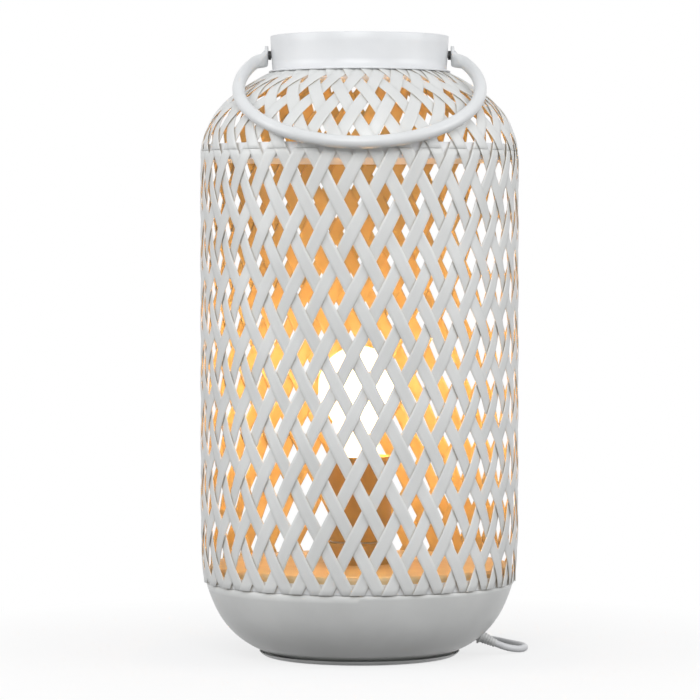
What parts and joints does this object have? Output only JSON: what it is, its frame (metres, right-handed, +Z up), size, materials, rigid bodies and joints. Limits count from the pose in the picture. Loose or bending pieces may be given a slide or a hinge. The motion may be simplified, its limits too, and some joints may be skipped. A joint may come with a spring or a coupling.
{
  "type": "lantern table lamp",
  "caption": "Table lamp shaped like a lantern: a cylinder of woven flat strips with a domed shoulder, open collar and hinged tube handle, on a spun bowl, lit from inside by a screw-in bulb",
  "frame": {"origin": "on the surface that the lamp stands on, under the axis of its shell", "axes": "+Z up along the shell's axis, front towards -Y where the handle hangs, cord leaves towards +X"},
  "size_m": [0.2398, 0.3169, 0.4495],
  "materials": {
    "foot": "satin white powder coat",
    "bowl": "satin white powder coat",
    "frame": "satin white powder coat",
    "weave": "satin white powder coat",
    "handle": "satin white powder coat",
    "tray": "satin white powder coat",
    "cup": "satin white powder coat",
    "rivet": "satin white powder coat",
    "zinc": "zinc plated",
    "bush": "white moulded bush",
    "spacer": "black washer",
    "holder": "white moulding",
    "brass": "bare brass",
    "bulb_cap": "bare screw cap",
    "bulb_glass": "clear warm glass",
    "bulb_stem": "glass stem and wires",
    "filament": "lit light strips",
    "cord": "soft white sheath",
    "switch": "white moulding",
    "tie": "soft strap",
    "plug": "white moulding",
    "pins": "nickel plated pins"
  },
  "bodies": {
    "lamp": {"foot_dish": "foot", "foot_screws": "zinc", "foot_nuts": "zinc", "bowl": "bowl", "cord_gland": "bush", "lower_hoop": "frame", "upper_hoop": "frame", "weave_rising": "weave", "weave_falling": "weave", "shoulder_rising": "weave", "shoulder_falling": "weave", "collar": "frame", "neck_ring": "frame", "rivet_right": "rivet", "rivet_left": "rivet", "spacer_right": "spacer", "spacer_left": "spacer", "tray": "tray", "nipple": "zinc", "nipple_washer": "zinc", "nipple_nut": "zinc", "pedestal_cup": "cup", "lampholder_body": "holder", "holder_sleeve": "cup", "screw_shell": "brass", "centre_contact": "brass", "bulb_cap": "bulb_cap", "bulb_glass": "bulb_glass", "bulb_stem": "bulb_stem", "bulb_filaments": "filament", "inner_lead": "cord", "cord_run": "cord", "switch_base": "switch", "switch_cover": "switch", "cord_lead": "cord", "cord_coil": "cord", "cord_tie": "tie", "cord_tail": "cord", "plug_body": "plug", "plug_pins": "pins"},
    "handle": {"handle_bail": "handle"},
    "rocker": {"switch_rocker": "switch"}
  },
  "joints": [
    {"name": "handle_pivot", "type": "hinge", "parent": "lamp", "child": "handle", "pos_m": [0, 0, 0.4357], "axis": [-1, 0, 0], "range_deg": [0, 236.6]},
    {"name": "switch_rocker_pivot", "type": "hinge", "parent": "lamp", "child": "rocker", "pos_m": [0.022, 0.106, 0.0115], "axis": [0, 1, 0], "range_deg": [0, 16]}
  ]
}
